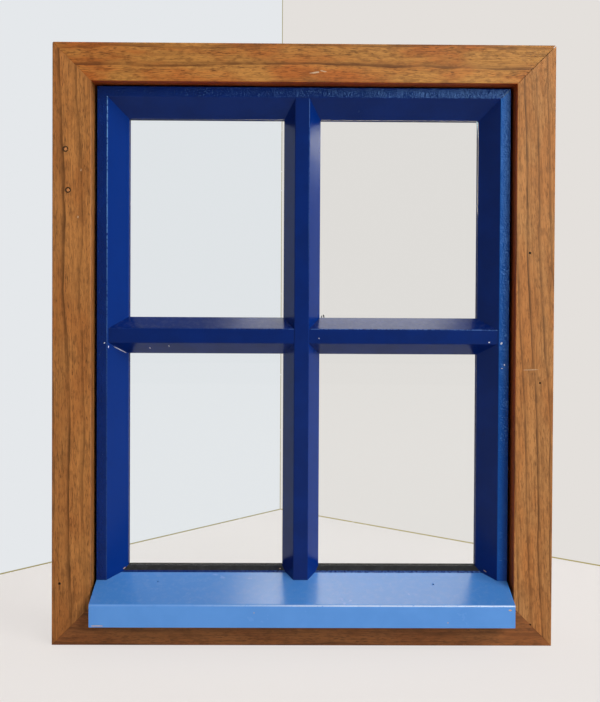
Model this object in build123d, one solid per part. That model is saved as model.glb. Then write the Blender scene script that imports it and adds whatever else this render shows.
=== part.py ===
"""Fixed window: a mitred hardwood surround with a splayed lining, crossed glazing bars and a sloping sill.

The origin is the middle of the face it stands on. X runs to the right as seen from the front, Y runs from
the front to the back and Z is up. All lengths are in millimetres.
"""
import math
import os

from build123d import *

# Hardwood surround
frame_width = 500.0
frame_height = 600.0
frame_face = 38.5
frame_ease = 1.0
frame_corner_radius = 2.0

# Mitres of the surround: a fine vee where two members meet, and one that has opened towards the outside
mitre_vee = 0.25
open_mitre_inner_width = 0.3
open_mitre_outer_width = 0.7
open_mitre_depth = 8.0

# Lining, set back behind the face of the surround
setback = 14.5
lining_gap_side = 3.3
lining_gap_top = 1.9
lining_gap_base = 4.0
lining_face = 10.0
splay_width = 19.0
splay_depth = 19.0
lining_lip = 1.0
lining_arris = 1.5

# Glass and the beads that hold it
glass_thickness = 3.0
glass_cover = 8.0
glass_edge_gap = 1.0
bead_depth = 8.0
bead_bevel = 2.5

# Glazing bars
bar_front_width = 14.5
bar_back_width = 37.3
bar_arris = 1.2
mullion_step = 0.6
transom_step = 0.6
mullion_offset = -1.8
transom_rise = 9.0

# Sill
sill_projection = 23.6
sill_lap = 13.0
sill_cover = 8.7
sill_pitch = 19.5
sill_edge = 0.5
sill_nose_radius = 2.5
sill_drip_radius = 0.8

# Stops
stop_width = 14.0
stop_depth = 11.5

# Dowels across the corners of the surround
dowel_diameter = 8.0
dowel_length = 30.0
dowel_depth_shares = (0.3, 0.7)

# Round pins and nails: diameter and length of each kind
stop_pin_diameter = 1.8
stop_pin_length = 30.0
stop_pin_shares = (0.12, 0.5, 0.88)
bead_pin_diameter = 1.4
bead_pin_length = 15.0
bead_pin_shares = (0.2, 0.8)
bar_nail_diameter = 2.0
bar_nail_length = 50.0

# Screws through the stops into the lining
screw_diameter = 3.5
screw_length = 28.0
screw_head_diameter = 7.0
screw_head_height = 2.4
screw_inset = 5.3
screw_shares = (0.3, 0.7)

# Nails sunk in the sill: distance from its end, and in front of the lining
sill_nail_diameter = 2.6
sill_nail_length = 40.0
sill_nail_sink = 1.2
sill_nail_left_inset = 62.0
sill_nail_left_gap = 2.0
sill_nail_right_inset = 76.0
sill_nail_right_gap = 5.5

# Old nails in the left member: distance from its outer edge, and below the top
face_nail_diameter = 2.6
face_nail_length = 34.0
face_nail_head_diameter = 4.6
face_nail_head_height = 1.2
face_nail_sink = 0.5
face_nail_upper_inset = 13.1
face_nail_upper_drop = 105.9
face_nail_lower_inset = 15.7
face_nail_lower_drop = 146.4

# Empty pin holes in the face: distance from the near outer edge, and above the base or below the top
pin_hole_diameter = 1.8
pin_hole_depth = 4.0
left_hole_inset = 7.9
left_hole_height = 61.7
right_upper_hole_inset = 24.8
right_upper_hole_drop = 206.3
right_lower_hole_inset = 13.6
right_lower_hole_drop = 336.0
mitre_hole_inset = 21.4

# How far a cutting tool runs past what it cuts
overrun = 5.0

# Depths, and levels along Y from front to back
tongue_depth = splay_depth + lining_lip
lining_depth = tongue_depth + glass_thickness + bead_depth
frame_depth = setback + lining_depth + stop_depth
face_y = -frame_depth / 2
lining_y = face_y + setback
glass_y = lining_y + tongue_depth
bead_y = glass_y + glass_thickness
lining_back_y = lining_y + lining_depth
back_y = frame_depth / 2

# Widths measured inwards from the outer edge of each ring of members
lining_width = lining_face + splay_width
rebate_width = glass_cover + glass_edge_gap
rebate_wall = lining_width - rebate_width

SIDES = ("head", "base", "left", "right")


class Ring:
    """Outer rectangle of four mitred members, seen from the front."""

    def __init__(self, left, right, bottom, top):
        self.left = left
        self.right = right
        self.bottom = bottom
        self.top = top

    def inset(self, side, top, bottom):
        """Rectangle inside this one, by three margins."""
        return Ring(self.left + side, self.right - side, self.bottom + bottom, self.top - top)

    def even(self, margin):
        """Rectangle inside this one, by the same margin all round."""
        return self.inset(margin, margin, margin)

    def width(self):
        return self.right - self.left

    def height(self):
        return self.top - self.bottom

    def length(self, side):
        """Length of the member on one side, along its outer edge."""
        return self.width() if side in ("head", "base") else self.height()

    def plane(self, side):
        """Plane of the section of one member: x runs inwards, y runs to the back."""
        corner, inward = {
            "head": ((self.left, 0, self.top), (0, 0, -1)),
            "base": ((self.right, 0, self.bottom), (0, 0, 1)),
            "left": ((self.left, 0, self.bottom), (1, 0, 0)),
            "right": ((self.right, 0, self.top), (-1, 0, 0)),
        }[side]
        along = Vector(*inward).cross(Vector(0, 1, 0))
        return Plane(origin=corner, x_dir=inward, z_dir=along)

    def rectangle(self, y):
        """Face of the whole rectangle at one depth."""
        corners = [
            (self.left, y, self.bottom),
            (self.right, y, self.bottom),
            (self.right, y, self.top),
            (self.left, y, self.top),
        ]
        return make_face(Polyline(corners, close=True))


frame_ring = Ring(-frame_width / 2, frame_width / 2, 0, frame_height)
opening = frame_ring.even(frame_face)
lining_ring = opening.inset(lining_gap_side, lining_gap_top, lining_gap_base)
splay_front = lining_ring.even(lining_face)
splay_back = lining_ring.even(lining_width)
bead_ring = lining_ring.even(rebate_wall)
transom_height = frame_height / 2 + transom_rise


def ring_member(ring, side, section, width):
    """One member of a ring, its section run along the side and cut to 45 degree mitres."""
    plane = ring.plane(side)
    length = ring.length(side)
    bar = extrude(plane * section, amount=length)
    corners = [(0, 0), (0, length), (width, length - width), (width, width)]
    outline = [plane.origin + plane.x_dir * inward + plane.z_dir * along for inward, along in corners]
    mitred = make_face(Polyline(outline, close=True))
    return bar & extrude(mitred, amount=frame_depth, dir=(0, 1, 0), both=True)


def rounded(section, point, radius):
    """Section with the corner at one point rounded."""
    corner = section.vertices().sort_by_distance(point)[0]
    return fillet(corner, radius)


def box_section(width, near, far):
    """Rectangle of a width, between two depths."""
    return make_face(Polyline([(0, near), (width, near), (width, far), (0, far)], close=True))


def pin(start, direction, diameter, length):
    """Straight round pin from a point along a direction."""
    return extrude(Plane(origin=start, z_dir=direction) * Circle(diameter / 2), amount=length)


def countersunk_screw(start, direction):
    """Screw with a conical head at its start."""
    plane = Plane(origin=start, z_dir=direction)
    rim = plane * Circle(screw_head_diameter / 2)
    neck = plane.offset(screw_head_height) * Circle(screw_diameter / 2)
    return loft([rim.face(), neck.face()]) + pin(start, direction, screw_diameter, screw_length)


def cut_all(solid, tools):
    """Solid with every tool that reaches it taken out."""
    for tool in tools:
        solid = solid - tool
    return solid


def surround():
    """Four hardwood members with eased edges, rounded at the two upper corners."""
    section = box_section(frame_face, face_y, back_y)
    section = fillet(section.vertices(), frame_ease)
    outline = frame_ring.rectangle(face_y)
    upper = outline.vertices().group_by(Axis.Z)[-1]
    rounded_outline = extrude(fillet(upper, frame_corner_radius), amount=frame_depth, dir=(0, 1, 0))
    return {side: ring_member(frame_ring, side, section, frame_face) & rounded_outline for side in SIDES}


def mitre_vees():
    """Cutters that leave a fine vee along the front of each mitre of the surround."""
    reach = mitre_vee + overrun
    points = [(-reach, -overrun), (reach, -overrun), (0, mitre_vee)]
    section = make_face(Polyline(points, close=True))
    length = (frame_face + overrun) * math.sqrt(2)
    cutters = []
    for x, outward_x in ((opening.left, -1), (opening.right, 1)):
        for z, outward_z in ((opening.bottom, -1), (opening.top, 1)):
            along = Vector(outward_x, 0, outward_z).normalized()
            across = Vector(0, 1, 0).cross(along)
            plane = Plane(origin=(x, face_y, z), x_dir=across, z_dir=along)
            cutters.append(extrude(plane * section, amount=length))
    return cutters


def open_mitre():
    """Cutter for the upper right mitre, which has opened at the front and most at its outer end."""
    along = Vector(1, 0, 1).normalized()
    across = Vector(1, 0, -1).normalized()
    inner = Vector(opening.right, face_y, opening.top)
    outer = inner + along * (frame_face * math.sqrt(2))
    corners = [
        inner - across * (open_mitre_inner_width / 2),
        inner + across * (open_mitre_inner_width / 2),
        outer + across * (open_mitre_outer_width / 2),
        outer - across * (open_mitre_outer_width / 2),
    ]
    gap = make_face(Polyline(corners, close=True))
    return extrude(gap, amount=open_mitre_depth, dir=(0, 1, 0))


def lining():
    """Four splayed members with a rebate for the glass at the back."""
    tongue_y = lining_y + tongue_depth
    points = [
        (0, lining_y),
        (lining_face, lining_y),
        (lining_width, lining_y + splay_depth),
        (lining_width, tongue_y),
        (rebate_wall, tongue_y),
        (rebate_wall, lining_back_y),
        (0, lining_back_y),
    ]
    section = make_face(Polyline(points, close=True))
    section = rounded(section, (lining_face, lining_y), lining_arris)
    return {side: ring_member(lining_ring, side, section, lining_width) for side in SIDES}


def beads():
    """Four glazing beads behind the glass, bevelled towards the opening."""
    points = [
        (0, bead_y),
        (rebate_width, bead_y),
        (rebate_width, lining_back_y - bead_bevel),
        (rebate_width - bead_bevel, lining_back_y),
        (0, lining_back_y),
    ]
    section = make_face(Polyline(points, close=True))
    return {side: ring_member(bead_ring, side, section, rebate_width) for side in SIDES}


def stops():
    """Four strips inside the back edge of the surround."""
    section = box_section(stop_width, lining_back_y, back_y)
    return {side: ring_member(opening, side, section, stop_width) for side in SIDES}


def glass():
    """One sheet behind all the bars."""
    sheet = bead_ring.even(glass_edge_gap).rectangle(glass_y)
    return extrude(sheet, amount=glass_thickness, dir=(0, 1, 0))


def splayed_space():
    """Space between the splayed faces of the lining, down to the glass."""
    splay_y = lining_y + splay_depth
    funnel = loft([splay_front.rectangle(lining_y), splay_back.rectangle(splay_y)])
    return funnel + extrude(splay_back.rectangle(splay_y), amount=lining_lip, dir=(0, 1, 0))


def bar_section(step):
    """Section of a glazing bar about its middle: narrow in front, wide against the glass."""
    front = lining_y + step
    splay = lining_y + splay_depth
    half_front = bar_front_width / 2
    half_back = bar_back_width / 2
    points = [
        (-half_front, front),
        (half_front, front),
        (half_back, splay),
        (half_back, glass_y),
        (-half_back, glass_y),
        (-half_back, splay),
    ]
    section = make_face(Polyline(points, close=True))
    for end in (-half_front, half_front):
        section = rounded(section, (end, front), bar_arris)
    return section


def sill_solid(space):
    """Sloping sill: a nosed board notched over the surround, with a wedge scribed to the splays behind."""
    rise = math.tan(math.radians(sill_pitch))
    arris_z = splay_front.bottom
    top_z = arris_z + sill_cover
    nose_y = face_y - sill_projection
    nose_z = top_z - rise * (setback + sill_projection)
    drip_z = opening.bottom - sill_lap
    splay_rise = splay_width / splay_depth
    wedge_run = (sill_cover - sill_edge) / (splay_rise - rise)
    wedge_y = lining_y + wedge_run
    board = [
        (nose_y, drip_z),
        (face_y, drip_z),
        (face_y, opening.bottom),
        (lining_y, opening.bottom),
        (lining_y, top_z),
        (nose_y, nose_z),
    ]
    wedge = [
        (lining_y, arris_z),
        (wedge_y, arris_z + splay_rise * wedge_run),
        (wedge_y, top_z + rise * wedge_run),
        (lining_y, top_z),
    ]
    profile = make_face(Polyline(board, close=True))
    profile = rounded(profile, (nose_y, nose_z), sill_nose_radius)
    profile = rounded(profile, (nose_y, drip_z), sill_drip_radius)
    end = Plane(origin=(lining_ring.left, 0, 0), x_dir=(0, 1, 0), z_dir=(1, 0, 0))
    length = lining_ring.width()
    fitted = extrude(end * make_face(Polyline(wedge, close=True)), amount=length) & space
    return extrude(end * profile, amount=length) + fitted


def glazing_bars(space, sill):
    """Upright bar standing on the sill, and a cross bar in two halves coped on it."""
    upright = Plane(origin=(mullion_offset, 0, lining_ring.bottom), x_dir=(1, 0, 0), z_dir=(0, 0, 1))
    level = Plane(origin=(lining_ring.left, 0, transom_height), x_dir=(0, 0, -1), z_dir=(1, 0, 0))
    whole = extrude(upright * bar_section(mullion_step), amount=lining_ring.height()) & space
    mullion = whole - sill
    cross = extrude(level * bar_section(mullion_step + transom_step), amount=lining_ring.width()) & space
    halves = (cross - whole).solids().sort_by(Axis.X)
    return {"mullion": mullion, "transom_left": halves[0], "transom_right": halves[-1]}


def mitre_dowels():
    """Two dowels square across each corner of the surround."""
    middle = frame_ring.even(frame_face / 2)
    dowels = []
    for x, inward_x in ((middle.left, 1), (middle.right, -1)):
        for z, inward_z in ((middle.bottom, 1), (middle.top, -1)):
            across = Vector(inward_x, 0, -inward_z).normalized()
            for share in dowel_depth_shares:
                centre = Vector(x, face_y + share * frame_depth, z)
                start = centre - across * (dowel_length / 2)
                dowels.append(pin(start, across, dowel_diameter, dowel_length))
    return dowels


def points_along(ring, side, inset, y, shares):
    """Points beside one outer edge of a ring, at shares of its length, with the way outwards."""
    plane = ring.plane(side)
    outward = plane.x_dir * -1
    places = []
    for share in shares:
        place = plane.origin - outward * inset + plane.z_dir * (share * ring.length(side))
        places.append((Vector(place.X, y, place.Z), outward))
    return places


def stop_pins():
    """Pins from the inner face of each stop into the surround."""
    y = (lining_back_y + back_y) / 2
    pins = []
    for side in SIDES:
        for start, outward in points_along(opening, side, stop_width, y, stop_pin_shares):
            pins.append(pin(start, outward, stop_pin_diameter, stop_pin_length))
    return pins


def bead_pins():
    """Pins from the inner face of each bead into the lining."""
    y = bead_y + (bead_depth - bead_bevel) / 2
    pins = []
    for side in SIDES:
        for start, outward in points_along(bead_ring, side, rebate_width, y, bead_pin_shares):
            pins.append(pin(start, outward, bead_pin_diameter, bead_pin_length))
    return pins


def lining_screws():
    """Screws through the stops into the back of the lining."""
    screws = []
    for side in SIDES:
        for start, _ in points_along(lining_ring, side, screw_inset, back_y, screw_shares):
            screws.append(countersunk_screw(start, (0, -1, 0)))
    return screws


def bar_nails():
    """Nails from the outside of the lining into the end of each bar."""
    y = lining_y + (splay_depth + mullion_step) / 2
    starts = (
        ((mullion_offset, y, lining_ring.top), (0, 0, -1)),
        ((mullion_offset, y, lining_ring.bottom), (0, 0, 1)),
        ((lining_ring.left, y, transom_height), (1, 0, 0)),
        ((lining_ring.right, y, transom_height), (-1, 0, 0)),
    )
    return [pin(start, inward, bar_nail_diameter, bar_nail_length) for start, inward in starts]


def sill_nails():
    """Nails sunk below the slope of the sill, and the holes that they leave above them."""
    rise = math.tan(math.radians(sill_pitch))
    nails = []
    holes = []
    places = (
        (lining_ring.left + sill_nail_left_inset, sill_nail_left_gap),
        (lining_ring.right - sill_nail_right_inset, sill_nail_right_gap),
    )
    for x, gap in places:
        slope_z = splay_front.bottom + sill_cover - rise * gap
        top = Vector(x, lining_y - gap, slope_z - sill_nail_sink)
        nails.append(pin(top, (0, 0, -1), sill_nail_diameter, sill_nail_length))
        holes.append(pin(top, (0, 0, 1), sill_nail_diameter, sill_nail_sink + overrun))
    return nails, holes


def face_nails():
    """Old nails in the left member, and the holes that they leave in front of them."""
    places = (
        (face_nail_upper_inset, face_nail_upper_drop),
        (face_nail_lower_inset, face_nail_lower_drop),
    )
    nails = []
    holes = []
    for inset, drop in places:
        head = Vector(frame_ring.left + inset, face_y + face_nail_sink, frame_ring.top - drop)
        shank = pin(head, (0, 1, 0), face_nail_diameter, face_nail_length)
        nails.append(shank + pin(head, (0, 1, 0), face_nail_head_diameter, face_nail_head_height))
        holes.append(pin(head, (0, -1, 0), face_nail_head_diameter, face_nail_sink + overrun))
    return nails, holes


def pin_holes():
    """Empty pin holes in the face of the surround."""
    places = (
        (frame_ring.left + left_hole_inset, left_hole_height),
        (frame_ring.right - right_upper_hole_inset, frame_ring.top - right_upper_hole_drop),
        (frame_ring.right - right_lower_hole_inset, frame_ring.top - right_lower_hole_drop),
        (frame_ring.right - mitre_hole_inset, mitre_hole_inset),
    )
    length = pin_hole_depth + overrun
    bottoms = [(x, face_y + pin_hole_depth, z) for x, z in places]
    return [pin(bottom, (0, -1, 0), pin_hole_diameter, length) for bottom in bottoms]


def build():
    """All pieces by node name."""
    space = splayed_space()
    frame = surround()
    liners = lining()
    bead = beads()
    stop = stops()
    sill = sill_solid(space)
    bars = glazing_bars(space, sill)
    dowels = mitre_dowels()
    stop_fixings = stop_pins()
    bead_fixings = bead_pins()
    screws = lining_screws()
    bar_fixings = bar_nails()
    sill_fixings, sill_holes = sill_nails()
    old_nails, old_holes = face_nails()
    frame_tools = dowels + stop_fixings + sill_fixings + old_nails + old_holes + pin_holes()
    frame_tools += mitre_vees() + [open_mitre()]
    nodes = {}
    for side in SIDES:
        nodes["frame_" + side] = cut_all(frame[side], frame_tools)
        nodes["lining_" + side] = cut_all(liners[side], bead_fixings + screws + bar_fixings)
        nodes["bead_" + side] = cut_all(bead[side], bead_fixings)
        nodes["stop_" + side] = cut_all(stop[side], stop_fixings + screws)
    for name, bar in bars.items():
        nodes[name] = cut_all(bar, bar_fixings)
    nodes["sill"] = cut_all(sill, sill_fixings + sill_holes + bar_fixings)
    nodes["glass_pane"] = glass()
    nodes["mitre_dowels"] = Compound(dowels)
    nodes["stop_pins"] = Compound(stop_fixings)
    nodes["bead_pins"] = Compound(bead_fixings)
    nodes["lining_screws"] = Compound(screws)
    nodes["bar_nails"] = Compound(bar_fixings)
    nodes["sill_nails"] = Compound(sill_fixings)
    nodes["face_nails"] = Compound(old_nails)
    return nodes


def main():
    os.makedirs("parts", exist_ok=True)
    for name, piece in build().items():
        export_step(piece, os.path.join("parts", name + ".step"))


main()
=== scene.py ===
"""Dresses a small fixed window: oiled hardwood surround, painted lining, bars and sill, clear glass.

Lengths are in metres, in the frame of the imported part: X to the right, Y to the back, Z up.
"""

import logging
import math
from dataclasses import dataclass
from enum import Enum

import bpy
from mathutils import Euler, Matrix, Vector


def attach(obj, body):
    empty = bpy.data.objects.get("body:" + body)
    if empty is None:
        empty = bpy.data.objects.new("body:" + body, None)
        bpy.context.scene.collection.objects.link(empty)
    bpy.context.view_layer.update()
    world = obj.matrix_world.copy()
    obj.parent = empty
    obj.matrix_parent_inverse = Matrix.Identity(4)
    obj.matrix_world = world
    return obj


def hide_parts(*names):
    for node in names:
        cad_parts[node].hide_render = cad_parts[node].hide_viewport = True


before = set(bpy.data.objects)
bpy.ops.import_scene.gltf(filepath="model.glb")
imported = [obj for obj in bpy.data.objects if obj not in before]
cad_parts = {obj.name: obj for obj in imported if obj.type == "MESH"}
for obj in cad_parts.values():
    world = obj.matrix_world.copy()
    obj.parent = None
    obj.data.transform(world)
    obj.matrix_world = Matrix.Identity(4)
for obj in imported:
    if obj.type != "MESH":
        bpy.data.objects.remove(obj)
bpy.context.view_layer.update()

LOG = logging.getLogger("window")

Colour = tuple[float, float, float, float]
Triple = tuple[float, float, float]
Span = tuple[float, float]
Inputs = dict[str | int, object]
Socket = bpy.types.NodeSocket
Tree = bpy.types.NodeTree
Piece = bpy.types.Object

BODY = "root"
SIDES = ("head", "base", "left", "right")
SMOOTH_ANGLE = math.radians(35)

RISE: Span = (0.0, 1.0)
FALL: Span = (1.0, 0.0)
WHITE: Colour = (1.0, 1.0, 1.0, 1.0)


def tone(*levels: int) -> Colour:
    """Turns display levels into the linear colour that a shader takes.

    Args:
        *levels: Red, green and blue, from 0 to 255.

    Returns:
        Linear red, green, blue and a full alpha.
    """
    shares = [level / 255 for level in levels]
    return *(share / 12.92 if share <= 0.04045 else ((share + 0.055) / 1.055) ** 2.4 for share in shares), 1.0


class Grain(Enum):
    """Way that the fibres of a timber piece run."""

    LEVEL = "level"
    UPRIGHT = "upright"


class Effect(Enum):
    """Surface effects that several finishes share."""

    TIMBER = "timber_figure"
    FILM = "paint_film"
    DUST = "settled_dust"
    HANDLING = "handling_marks"


@dataclass(frozen=True)
class Pattern:
    """One noise: its waves in a metre, its finer layers, their strength, and its scale along the fibres."""

    scale: float | Socket
    detail: float = 2.0
    rough: float = 0.5
    along: float = 1.0


# Noises of timber
SLOW_SWAY = Pattern(22.0, 1.0, along=0.30)
QUICK_SWAY = Pattern(150.0, along=0.22)
RING_BREAKS = Pattern(170.0, rough=0.6, along=0.12)
FIBRES = Pattern(900.0, 3.0, 0.6, 0.03)
SLITS = Pattern(1500.0, 1.0, 0.4, 0.11)
CLOUDS = Pattern(46.0, 3.0, 0.55, 0.30)
MOTTLE = Pattern(300.0, 3.0, 0.6, 0.38)

# Noises of paint, dust, metal and small marks
PAINT_WAVES = Pattern(70.0)
PAINT_CLOUDS = Pattern(30.0, 3.0, 0.6)
SPECKLES = Pattern(330.0, 1.0)
DUST_PATCHES = Pattern(160.0, 4.0, 0.7)
# Spots that break up the painted arris highlights and tear the chips
CHIP_AND_HIGHLIGHT_SPOTS = Pattern(420.0, rough=0.6)
RUST_SPOTS = Pattern(900.0, 4.0, 0.65)
GRIT = Pattern(1500.0, 3.0, 0.6)


class Nodes:
    """Fills one node tree with few words."""

    def __init__(self, tree: Tree) -> None:
        """Keeps the tree that is filled."""
        self.tree = tree

    def add(self, kind: str, values: Inputs, **settings: object) -> bpy.types.Node:
        """Adds a node.

        Args:
            kind: Blender's name of the node type.
            values: Sockets or plain values for its inputs, by name or number.
            **settings: Properties to set on it.

        Returns:
            The new node.
        """
        node = self.tree.nodes.new(kind)
        for name, value in settings.items():
            setattr(node, name, value)
        self.feed(node, values)
        return node

    def feed(self, node: bpy.types.Node, values: Inputs) -> None:
        """Links or sets the inputs of a node.

        Args:
            node: The node.
            values: Sockets or plain values, by the name or number of the input.
        """
        for name, value in values.items():
            if isinstance(value, Socket):
                self.tree.links.new(value, node.inputs[name])
            else:
                node.inputs[name].default_value = value

    def read(self, kind: str) -> bpy.types.NodeOutputs:
        """Adds a node that needs no input, and gives what it puts out."""
        return self.add(kind, {}).outputs

    def math(self, operation: str, *values: object, clamp: bool = False) -> Socket:
        """Adds a Math node, and gives its result."""
        node = self.add("ShaderNodeMath", dict(enumerate(values)), operation=operation, use_clamp=clamp)
        return node.outputs[0]

    def times(self, first: object, second: object) -> Socket:
        """Multiplies two values."""
        return self.math("MULTIPLY", first, second)

    def square(self, value: object) -> Socket:
        """Multiplies a value by itself."""
        return self.math("POWER", value, 2.0)

    def mix(self, share: object, first: object, second: object, blend: str = "MIX") -> Socket:
        """Lays a share of the second colour over the first."""
        values = {0: share, 6: first, 7: second}
        return self.add("ShaderNodeMix", values, data_type="RGBA", blend_type=blend).outputs[2]

    def blend(self, share: object, first: Socket, second: Socket) -> Socket:
        """Lays a share of the second shader over the first."""
        return self.add("ShaderNodeMixShader", {0: share, 1: first, 2: second}).outputs[0]

    def spread(self, value: object, span: Span, ends: Span = RISE) -> Socket:
        """Goes smoothly from the first end to the second while a value crosses a span."""
        values = dict(enumerate((value, *span, *ends)))
        return self.add("ShaderNodeMapRange", values, interpolation_type="SMOOTHSTEP").outputs[0]

    def noise(self, place: Socket, pattern: Pattern) -> Socket:
        """Adds a noise texture.

        Args:
            place: Where it is read.
            pattern: What it looks like.

        Returns:
            Its value, from 0 to 1.
        """
        if pattern.along != 1.0:
            values = {0: place, 1: (1.0, 1.0, pattern.along)}
            place = self.add("ShaderNodeVectorMath", values, operation="MULTIPLY").outputs[0]
        look = {"Scale": pattern.scale, "Detail": pattern.detail, "Roughness": pattern.rough}
        return self.add("ShaderNodeTexNoise", {"Vector": place, **look}).outputs[0]

    def parts(self, vector: Socket) -> list[Socket]:
        """Splits a vector into its three numbers."""
        return list(self.add("ShaderNodeSeparateXYZ", {0: vector}).outputs)

    def facing(self) -> list[Socket]:
        """Gives the way that the surface faces, as three numbers."""
        return self.parts(self.read("ShaderNodeNewGeometry")["Normal"])

    def bump(self, height: Socket, distance: float, strength: Socket | float = 1.0) -> Socket:
        """Turns a height, which stands out by the distance where it is 1, into a normal."""
        values = {"Height": height, "Distance": distance, "Strength": strength}
        return self.add("ShaderNodeBump", values).outputs[0]

    def seen(self) -> Socket:
        """Tells rays that look at a surface, straight, mirrored or through glass, from those that light it.

        Returns:
            1 for a ray that looks, and 0 for one that lights.
        """
        rays = self.read("ShaderNodeLightPath")
        mirrored = self.math("MAXIMUM", rays["Is Camera Ray"], rays["Is Glossy Ray"])
        return self.math("MAXIMUM", mirrored, rays["Is Transmission Ray"])


class Effects:
    """Node groups of the shared effects, each made once."""

    # Timber: the quick sway, how late wood rises and ends, how rings break and differ, pores and relief
    quick_share = 0.22
    late_rise = (0.50, 0.95)
    late_end = (0.955, 1.0)
    break_span = (0.34, 0.62)
    break_ends = (0.45, 1.0)
    ring_chance = (0.45, 0.60)
    ring_power = 3.0
    pore_span = (0.57, 0.66)
    pore_early = (0.9, 0.2)
    pore_ends = (0.45, 1.0)
    fibre_height = 0.35
    pore_height = 0.8

    # Paint film, dust and handling: shares of the two heights, and where each mask begins and is full
    stipple_height = 0.55
    wave_height = 1.1
    speckle_span = (0.70, 0.78)
    dust_slope = (0.35, 0.95)
    dust_span = (0.42, 0.72)
    rub_span = (0.55, 0.75)
    soil_span = (0.45, 0.25)

    def __init__(self) -> None:
        """Makes every group."""
        self.groups = {
            Effect.TIMBER: self._timber(), Effect.FILM: self._film(),
            Effect.DUST: self._dust(), Effect.HANDLING: self._handling(),
        }

    @staticmethod
    def _start(effect: Effect, inputs: dict[str, float | None], outputs: tuple[str, ...]) -> tuple:
        """Starts a group.

        Args:
            effect: Which effect it is.
            inputs: Its number inputs with their defaults, or None for a vector.
            outputs: Names of its values.

        Returns:
            The group's nodes, and the sockets that come in.
        """
        tree = bpy.data.node_groups.new(effect.value, "ShaderNodeTree")
        for name, default in inputs.items():
            kind = "NodeSocketVector" if default is None else "NodeSocketFloat"
            made = tree.interface.new_socket(name, in_out="INPUT", socket_type=kind)
            if default is not None:
                made.default_value = default
        for name in outputs:
            tree.interface.new_socket(name, in_out="OUTPUT", socket_type="NodeSocketFloat")
        nodes = Nodes(tree)
        return nodes, nodes.read("NodeGroupInput")

    @staticmethod
    def _end(nodes: Nodes, *values: Socket) -> Tree:
        """Puts out a group's values in the order of their names, and gives the group."""
        nodes.add("NodeGroupOutput", dict(enumerate(values)))
        return nodes.tree

    def _timber(self) -> Tree:
        """Growth rings, fibres, pores, clouds and mottle of timber whose fibres run along Z.

        Returns:
            The group.
        """
        inputs = {"Place": None, "Rings": 60.0, "Wander": 0.5}
        outputs = ("Ring", "Shade", "Fibre", "Pore", "Cloud", "Mottle", "Height")
        nodes, source = self._start(Effect.TIMBER, inputs, outputs)
        place = source["Place"]
        x, y, _ = nodes.parts(place)
        radius = nodes.math("SQRT", nodes.math("ADD", nodes.square(x), nodes.square(y)))
        slow = nodes.math("SUBTRACT", nodes.noise(place, SLOW_SWAY), 0.5)
        quick = nodes.math("SUBTRACT", nodes.noise(place, QUICK_SWAY), 0.5)
        sway = nodes.math("MULTIPLY_ADD", quick, self.quick_share, slow)
        turns = nodes.math("MULTIPLY_ADD", radius, source["Rings"], nodes.times(sway, source["Wander"]))
        share = nodes.math("FRACT", turns)
        whole = {"W": nodes.math("FLOOR", turns)}
        shade = nodes.add("ShaderNodeTexWhiteNoise", whole, noise_dimensions="1D").outputs["Value"]
        late = nodes.times(nodes.spread(share, self.late_rise), nodes.spread(share, self.late_end, FALL))
        broken = nodes.spread(nodes.noise(place, RING_BREAKS), self.break_span, self.break_ends)
        strength = nodes.times(nodes.math("MULTIPLY_ADD", shade, *self.ring_chance), broken)
        ring = nodes.times(nodes.math("POWER", late, self.ring_power), strength)
        fibre = nodes.noise(place, FIBRES)
        slits = nodes.spread(nodes.noise(place, SLITS), self.pore_span)
        pore = nodes.times(slits, nodes.spread(share, self.pore_early, self.pore_ends))
        soft = nodes.times(fibre, self.fibre_height)
        height = nodes.math("SUBTRACT", soft, nodes.times(pore, self.pore_height))
        cloud, mottle = nodes.noise(place, CLOUDS), nodes.noise(place, MOTTLE)
        return self._end(nodes, ring, shade, fibre, pore, cloud, mottle, height)

    def _film(self) -> Tree:
        """Roller stipple, slow waves and cloudy gloss of a coat of paint.

        Returns:
            The group.
        """
        inputs = {"Place": None, "Stipple": 520.0}
        nodes, source = self._start(Effect.FILM, inputs, ("Height", "Cloud", "Speckle"))
        place = source["Place"]
        fine = nodes.times(nodes.noise(place, Pattern(source["Stipple"])), self.stipple_height)
        slow = nodes.times(nodes.noise(place, PAINT_WAVES), self.wave_height)
        speckle = nodes.spread(nodes.noise(place, SPECKLES), self.speckle_span)
        return self._end(nodes, nodes.math("ADD", fine, slow), nodes.noise(place, PAINT_CLOUDS), speckle)

    def _dust(self) -> Tree:
        """Dust that lies on what faces up.

        Returns:
            The group.
        """
        nodes, source = self._start(Effect.DUST, {"Place": None, "Amount": 0.3}, ("Mask",))
        lying = nodes.spread(nodes.facing()[2], self.dust_slope)
        patch = nodes.spread(nodes.noise(source["Place"], DUST_PATCHES), self.dust_span)
        return self._end(nodes, nodes.times(nodes.times(lying, patch), source["Amount"]))

    def _handling(self) -> Tree:
        """Rubbed and soiled patches from handling.

        Returns:
            The group.
        """
        nodes, source = self._start(Effect.HANDLING, {"Place": None, "Scale": 24.0}, ("Rub", "Soil"))
        broad = nodes.noise(source["Place"], Pattern(source["Scale"], 4.0, 0.65))
        return self._end(nodes, nodes.spread(broad, self.rub_span), nodes.spread(broad, self.soil_span))


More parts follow.
